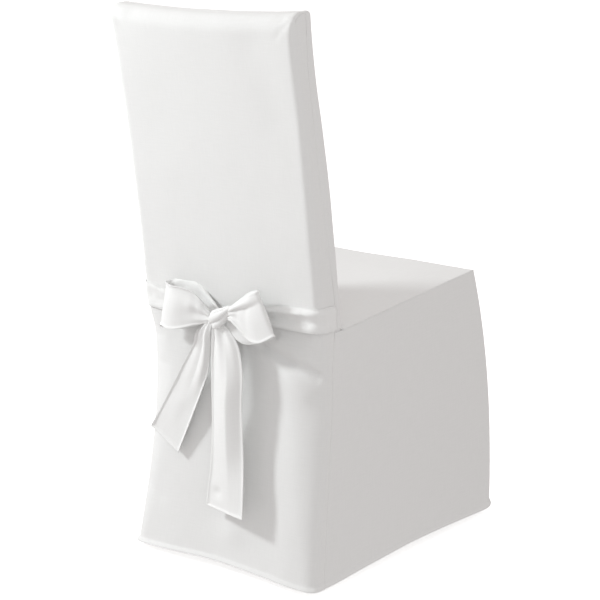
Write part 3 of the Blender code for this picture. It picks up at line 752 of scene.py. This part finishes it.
front_across = stations(FRONT_WIDTH, SKIRT_STEP, SEAT_EDGE_GAPS, SEAT_EDGE_GAPS)
front_skirt = hang_cloth(
    "front_skirt_cloth", cut_cloth(front_across, skirt_up), front_point,
    lambda u, v, point: skirt_relief(u, v, point, FRONT_WIDTH),
    COVER_CLOTH, -1.0, cover_cotton,
)
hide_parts("front_skirt")


# ---- Sash straps -------------------------------------------------------------------------
# The two halves of the sash: strips of a finer cotton, sewn into the side seams just above
# the seat and drawn round the back to the knot, where they gather.
SASH_CLOTH = 0.0014
SASH_WIDTH = 0.070
SASH_HEM = 0.0045
SASH_THREAD_MM = 1.1        # drawn coarser than real, as for the cover
SASH_SLUB_MM = 1.6
SASH_FLARE = 0.0026         # the hems of the bow curl out this much
KNOT_ACROSS = -0.014        # the two straps meet behind the knot, this far across the back
STRAP_ENDS_APART = 0.001    # half the space between them there
UPPER_EDGE_OFF = 0.0012     # their upper edges lie this close to the back
UPPER_PART = 0.75           # as they do from this share of their width up
ROLL_AT = 0.80              # share of a strap's width at which its roll stands out most
ROLL_WIDTH = 0.13
ROLL_ENDS_FROM = 0.88       # from here its roll turns back in to its upper edge
ROLL_ENDS_OVER = 0.14
STRAP_PLEATS = 2.0
STRAP_STEP_ALONG = 0.003
STRAP_STEP_ACROSS = 0.004
SASH_GAPS = (0.0, 0.0008, 0.002, 0.0030, 0.0037, 0.0045, 0.0055, 0.008)
# share is the way along, height the middle of the strap, width its breadth there, off how
# far its lower edge stands off the back, roll how far its upper edge is rolled out, and
# gather the depth of the pleats that run along it.
#   share  height  width   off     roll    gather
RIGHT_STRAP = (
    (0.00, 0.482, 0.044, 0.0012, 0.0012, 0.0000),
    (0.16, 0.484, 0.043, 0.0046, 0.0036, 0.0012),
    (0.32, 0.484, 0.041, 0.0095, 0.0105, 0.0022),
    (0.55, 0.482, 0.036, 0.0115, 0.0130, 0.0022),
    (0.75, 0.477, 0.028, 0.0125, 0.0060, 0.0016),
    (1.00, 0.470, 0.022, 0.0160, 0.0020, 0.0014),
)
LEFT_STRAP = (
    (0.00, 0.478, 0.044, 0.0012, 0.0010, 0.0000),
    (0.25, 0.476, 0.044, 0.0030, 0.0020, 0.0004),
    (0.50, 0.468, 0.036, 0.0060, 0.0030, 0.0010),
    (0.75, 0.465, 0.028, 0.0110, 0.0030, 0.0014),
    (1.00, 0.468, 0.022, 0.0160, 0.0020, 0.0014),
)

# Finer plain-weave cotton for the sash: a shade brighter and smoother than the cover.
sash_cotton = plain_weave("fine_plain_weave_cotton", "ECECEB", "E9E9E8", SASH_THREAD_MM,
                          SASH_SLUB_MM, THREAD_RELIEF_MM)


def strap(name, side, rows):
    """A strap from its side seam, round the corner of the back, to behind the knot."""
    _, half_width, _, seam_depth, _, _ = smooth(LEVELS, rows[0][1])
    length = seam_depth + half_width - side * KNOT_ACROSS - STRAP_ENDS_APART

    def shape(u, v):
        height, width, off, roll, gather = smooth(rows, u / length)
        t = v / SASH_WIDTH
        height += (t - 0.5) * width
        off = mix(off, UPPER_EDGE_OFF, ease(t / UPPER_PART))
        turned_in = 1.0 - ease((t - ROLL_ENDS_FROM) / ROLL_ENDS_OVER)
        off += roll * math.exp(-(((t - ROLL_AT) / ROLL_WIDTH) ** 2)) * turned_in
        off += gather * math.sin(2.0 * math.pi * STRAP_PLEATS * t) * math.sin(math.pi * t)
        if u < seam_depth:
            return skin_of_sleeve(side * half_width, seam_depth - u, height, off)
        return skin_of_sleeve(side * (half_width - u + seam_depth), 0.0, height, off)

    def relief(u, v, _):
        edge = min(v, SASH_WIDTH - v)
        pucker = unevenness(Vector((u * 1.6, v * 0.9, 3.1)), 0.016, 0.0012)
        return hemmed(edge, SASH_HEM, 0.0) + pucker * (1.0 - 0.6 * u / length)

    bm = cut_cloth(stations(length, STRAP_STEP_ALONG),
                   stations(SASH_WIDTH, STRAP_STEP_ACROSS, SASH_GAPS, SASH_GAPS))
    piece = hang_cloth(
        name + "_cloth", bm, shape, relief, SASH_CLOTH, 0.0, sash_cotton,
    )
    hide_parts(name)


strap("sash_strap_left", 1.0, LEFT_STRAP)
strap("sash_strap_right", -1.0, RIGHT_STRAP)


# ---- Bow loops ---------------------------------------------------------------------------
# Each loop is the doubled sash, gathered in the knot and puffed out in front. Its upper
# edges part, so that its inside shows between them.
# A row gives the two hemmed edges of the cloth at a share of the way along it, how far the
# cloth swells out between them, the depth of its gathers and the height of its one ridge.
#   share   x_low   y_low   z_low   x_high  y_high  z_high  swell   gather  ridge
LEFT_LOOP = (
    (0.00, 0.0172, 0.0330, 0.4587, 0.0172, 0.0340, 0.4749, 0.0010, 0.0022, 0.0000),
    (0.10, 0.0329, 0.0360, 0.4541, 0.0299, 0.0360, 0.4929, 0.0030, 0.0026, 0.0000),
    (0.22, 0.0483, 0.0420, 0.4493, 0.0488, 0.0400, 0.5077, 0.0040, 0.0014, 0.0000),
    (0.34, 0.0699, 0.0490, 0.4414, 0.0717, 0.0450, 0.5133, 0.0040, 0.0006, 0.0000),
    (0.44, 0.0975, 0.0520, 0.4363, 0.0915, 0.0460, 0.5141, 0.0030, 0.0002, 0.0000),
    (0.50, 0.1184, 0.0460, 0.4388, 0.1091, 0.0380, 0.5145, 0.0010, 0.0000, 0.0000),
    (0.56, 0.1321, 0.0240, 0.4255, 0.1240, 0.0160, 0.5107, 0.0010, 0.0000, 0.0000),
    (0.68, 0.1068, 0.0180, 0.4265, 0.1049, 0.0070, 0.5172, 0.0010, 0.0004, 0.0000),
    (0.80, 0.0757, 0.0160, 0.4348, 0.0729, 0.0065, 0.5182, 0.0010, 0.0006, 0.0000),
    (0.87, 0.0548, 0.0160, 0.4436, 0.0528, 0.0075, 0.5079, 0.0010, 0.0012, 0.0000),
    (0.94, 0.0392, 0.0180, 0.4520, 0.0308, 0.0110, 0.4913, 0.0010, 0.0016, 0.0000),
    (1.00, 0.0220, 0.0220, 0.4592, 0.0065, 0.0200, 0.4790, 0.0010, 0.0016, 0.0000),
)
RIGHT_LOOP = (
    (0.00, -0.0263, 0.0420, 0.4729, -0.0164, 0.0420, 0.4783, 0.0010, 0.0010, 0.0010),
    (0.10, -0.0445, 0.0480, 0.4727, -0.0390, 0.0450, 0.4904, 0.0020, 0.0012, 0.0050),
    (0.20, -0.0603, 0.0500, 0.4625, -0.0556, 0.0450, 0.5017, 0.0020, 0.0006, 0.0080),
    (0.30, -0.0802, 0.0520, 0.4479, -0.0717, 0.0460, 0.5122, 0.0030, 0.0004, 0.0085),
    (0.42, -0.1099, 0.0540, 0.4455, -0.0867, 0.0470, 0.5225, 0.0050, 0.0002, 0.0065),
    (0.50, -0.1370, 0.0510, 0.4601, -0.0959, 0.0450, 0.5278, 0.0040, 0.0000, 0.0015),
    (0.56, -0.1217, 0.0420, 0.4500, -0.0881, 0.0380, 0.5287, 0.0020, 0.0000, 0.0000),
    (0.66, -0.0889, 0.0360, 0.4362, -0.0675, 0.0300, 0.5223, 0.0010, 0.0004, 0.0000),
    (0.78, -0.0605, 0.0400, 0.4322, -0.0466, 0.0260, 0.5087, 0.0010, 0.0006, 0.0000),
    (0.88, -0.0364, 0.0400, 0.4441, -0.0244, 0.0260, 0.4922, 0.0010, 0.0010, 0.0000),
    (1.00, -0.0134, 0.0360, 0.4616, -0.0013, 0.0280, 0.4757, 0.0010, 0.0010, 0.0000),
)
LOOP_RIDGE = (0.78, 0.90, 1.01, 2.0)    # where its ridge starts, tops and ends, how round
PLEATS = 2.0                # gathers across the sash where it leaves the knot
LOOP_LENGTH = 0.250
RIBBON_STEP_ALONG = 0.003
RIBBON_STEP_ACROSS = 0.0024


def ribbon(name, rows, length, side, ridge, crumple, end_hem):
    """A length of the sash between its two edges, swelling towards whoever looks at it.

    Ridge tells where across the cloth the ridge starts, tops and ends, and how round it is.
    """
    start, top, end, roundness = ridge

    def edges(share):
        x_low, y_low, z_low, x_high, y_high, z_high, swell, gather, rise = smooth(rows, share)
        return at(x_low, y_low, z_low), at(x_high, y_high, z_high), swell, gather, rise

    def shape(u, v):
        share = u / length
        t = v / SASH_WIDTH
        low, high, swell, gather, rise = edges(share)
        before = edges(max(share - 0.01, 0.0))
        after = edges(min(share + 0.01, 1.0))
        along = after[0] + after[1] - before[0] - before[1]
        outward = (high - low).cross(along).normalized() * side
        climbed = clamp(min((t - start) / (top - start), (end - t) / (end - top)), 0.0, 1.0)
        lift = swell * math.sin(math.pi * t) + rise * (1.0 - (1.0 - climbed) ** roundness)
        lift += gather * math.sin(2.0 * math.pi * PLEATS * t)
        return low.lerp(high, t) + outward * lift

    def relief(u, v, _):
        edge = min(v, SASH_WIDTH - v)
        if end_hem:
            edge = min(edge, length - u)
        return hemmed(edge, SASH_HEM, SASH_FLARE) + crumple(u, v)

    ends = SASH_GAPS if end_hem else ()
    bm = cut_cloth(stations(length, RIBBON_STEP_ALONG, (), ends),
                   stations(SASH_WIDTH, RIBBON_STEP_ACROSS, SASH_GAPS, SASH_GAPS))
    if side > 0:
        bmesh.ops.reverse_faces(bm, faces=bm.faces[:])
    piece = hang_cloth(
        name + "_cloth", bm, shape, relief, SASH_CLOTH, 0.0, sash_cotton,
    )
    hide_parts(name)
    return piece


def loop_crumple(u, v):
    """The soft crumples of a loop's cloth."""
    return unevenness(Vector((u, v, 0.7)), 0.022, 0.0012)


for name, rows, side in (("bow_loop_left", LEFT_LOOP, 1.0), ("bow_loop_right", RIGHT_LOOP, -1.0)):
    loop = ribbon(name, rows, LOOP_LENGTH, side, LOOP_RIDGE, loop_crumple, False)


# ---- Bow tails ---------------------------------------------------------------------------
# The free ends of the sash. They hang from under the knot, gathered at the top and opening
# out, and are hemmed along both edges and across the end.
#   share   x_low   y_low   z_low   x_high  y_high  z_high  swell   gather  ridge
LEFT_TAIL = (
    (0.00, 0.0130, 0.0340, 0.4578, 0.0272, 0.0320, 0.4569, 0.0010, 0.0020, 0.0010),
    (0.12, 0.0156, 0.0340, 0.4377, 0.0509, 0.0300, 0.4346, 0.0030, 0.0020, 0.0040),
    (0.25, 0.0208, 0.0280, 0.4086, 0.0627, 0.0250, 0.4062, 0.0030, 0.0010, 0.0050),
    (0.42, 0.0293, 0.0220, 0.3696, 0.0925, 0.0200, 0.3615, 0.0030, 0.0004, 0.0045),
    (0.55, 0.0448, 0.0180, 0.3329, 0.1151, 0.0180, 0.3246, 0.0020, 0.0002, 0.0015),
    (0.75, 0.0663, 0.0170, 0.2861, 0.1413, 0.0180, 0.2813, 0.0020, 0.0000, 0.0000),
    (1.00, 0.1046, 0.0200, 0.1981, 0.1693, 0.0200, 0.2362, 0.0005, 0.0000, 0.0000),
)
RIGHT_TAIL = (
    (0.00, -0.0117, 0.0380, 0.4591, 0.0085, 0.0380, 0.4576, 0.0010, 0.0022, 0.0000),
    (0.06, -0.0315, 0.0380, 0.4481, 0.0099, 0.0380, 0.4413, 0.0020, 0.0034, 0.0020),
    (0.16, -0.0494, 0.0360, 0.4224, 0.0111, 0.0360, 0.4085, 0.0010, 0.0022, 0.0100),
    (0.30, -0.0576, 0.0360, 0.3759, 0.0100, 0.0350, 0.3634, 0.0000, 0.0006, 0.0140),
    (0.45, -0.0553, 0.0360, 0.3272, 0.0103, 0.0340, 0.3123, 0.0000, 0.0002, 0.0165),
    (0.62, -0.0582, 0.0370, 0.2594, 0.0123, 0.0330, 0.2438, 0.0000, 0.0000, 0.0165),
    (0.78, -0.0631, 0.0410, 0.2069, 0.0169, 0.0330, 0.1909, 0.0000, 0.0000, 0.0110),
    (0.88, -0.0684, 0.0480, 0.1680, 0.0217, 0.0340, 0.1584, 0.0000, 0.0000, 0.0060),
    (1.00, -0.0707, 0.0540, 0.1203, 0.0249, 0.0360, 0.1217, 0.0010, 0.0000, 0.0010),
)
LEFT_TAIL_LENGTH = 0.250
RIGHT_TAIL_LENGTH = 0.330
LEFT_TAIL_RIDGE = (0.04, 0.20, 0.42, 1.6)
RIGHT_TAIL_RIDGE = (0.0, 0.38, 1.02, 1.20)
DENT_ALONG = 0.300          # a dent near the end of the right tail, along the cloth
DENT_ACROSS = 0.052
DENT_DEPTH = 0.0035
DENT_RADIUS = 0.009


def left_crumple(u, v):
    """The crumples of the left tail, drawn out along it."""
    return unevenness(Vector((u * 0.6, v, 5.2)), 0.024, 0.0012)


def right_crumple(u, v):
    """The crumples of the right tail, and the dent near its end."""
    from_dent = Vector((u - DENT_ALONG, v - DENT_ACROSS)).length
    dent = DENT_DEPTH * math.exp(-((from_dent / DENT_RADIUS) ** 2))
    return unevenness(Vector((u * 0.5, v, 9.4)), 0.030, 0.0010) - dent


tail_left = ribbon("bow_tail_left", LEFT_TAIL, LEFT_TAIL_LENGTH, 1.0, LEFT_TAIL_RIDGE,
                   left_crumple, True)
tail_right = ribbon("bow_tail_right", RIGHT_TAIL, RIGHT_TAIL_LENGTH, 1.0, RIGHT_TAIL_RIDGE,
                    right_crumple, True)


# ---- Knot --------------------------------------------------------------------------------
# The sash wrapped over itself and pulled tight. The wraps run from below the left loop up to
# the right, over the front of the knot and into the top of the right loop.
# A row gives the middle of the wraps at a share of the way along, and their half sizes
# across the wraps and out from the back.
#   share   x        y       z       breadth  depth
KNOT_WRAPS = (
    (0.00, 0.0090, 0.0320, 0.4540, 0.0060, 0.0040),
    (0.15, 0.0060, 0.0370, 0.4580, 0.0130, 0.0100),
    (0.35, -0.0030, 0.0410, 0.4650, 0.0165, 0.0130),
    (0.55, -0.0150, 0.0430, 0.4740, 0.0150, 0.0130),
    (0.75, -0.0280, 0.0440, 0.4835, 0.0095, 0.0090),
    (0.90, -0.0380, 0.0450, 0.4910, 0.0060, 0.0055),
    (1.00, -0.0460, 0.0440, 0.4970, 0.0020, 0.0020),
)
WRAPS_ACROSS = Vector((0.60, 0.0, 0.80))    # the way across the wraps, along the back
WRAP_LENGTH = 0.062
WRAP_GIRTH = 0.080
WRAPS = 5                   # folds of cloth side by side round the knot
WRAP_TWIST = 0.5            # how far the creases between them wander, in radians
WRAP_CREASE = 0.0050        # and how deep they are
CREASED_AT = 0.012          # where the wraps stand out this far


def knot_shape(u, v):
    """Where the wrapped cloth lies: u along the wraps, v round them."""
    share = u / WRAP_LENGTH
    x, y, z, breadth, depth = smooth(KNOT_WRAPS, share)
    turn = 2.0 * math.pi * v / WRAP_GIRTH
    drift = WRAP_TWIST * math.sin(2.0 * math.pi * share + 0.6)
    crease = abs(math.cos(0.5 * WRAPS * turn + drift)) ** 0.5
    shrink = WRAP_CREASE * (crease - 1.0) * depth / CREASED_AT
    across = WRAPS_ACROSS * math.cos(turn) * (breadth + shrink)
    return at(x, y, z) + across + Vector((0.0, math.sin(turn) * (depth + shrink), 0.0))


bm = cut_cloth(stations(WRAP_LENGTH, 0.0012), stations(WRAP_GIRTH, 0.0010))
for point in bm.verts:
    point.co = knot_shape(point.co.x, point.co.y)
bmesh.ops.remove_doubles(bm, verts=bm.verts[:], dist=WELD_DISTANCE)
rims = [edge for edge in bm.edges if edge.is_boundary]
bmesh.ops.holes_fill(bm, edges=rims, sides=0)
bmesh.ops.recalc_face_normals(bm, faces=bm.faces[:])
bm.normal_update()
lifts = [(point, point.normal.copy(), unevenness(point.co, 0.010, 0.0007)) for point in bm.verts]
for point, normal, lift in lifts:
    point.co += normal * lift
knot_mesh = bpy.data.meshes.new("bow_knot_cloth")
bm.to_mesh(knot_mesh)
bm.free()
knot_mesh.shade_smooth()
knot_mesh.materials.append(sash_cotton)
knot = bpy.data.objects.new("bow_knot_cloth", knot_mesh)
bpy.context.scene.collection.objects.link(knot)
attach(knot, "root")
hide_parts("bow_knot")
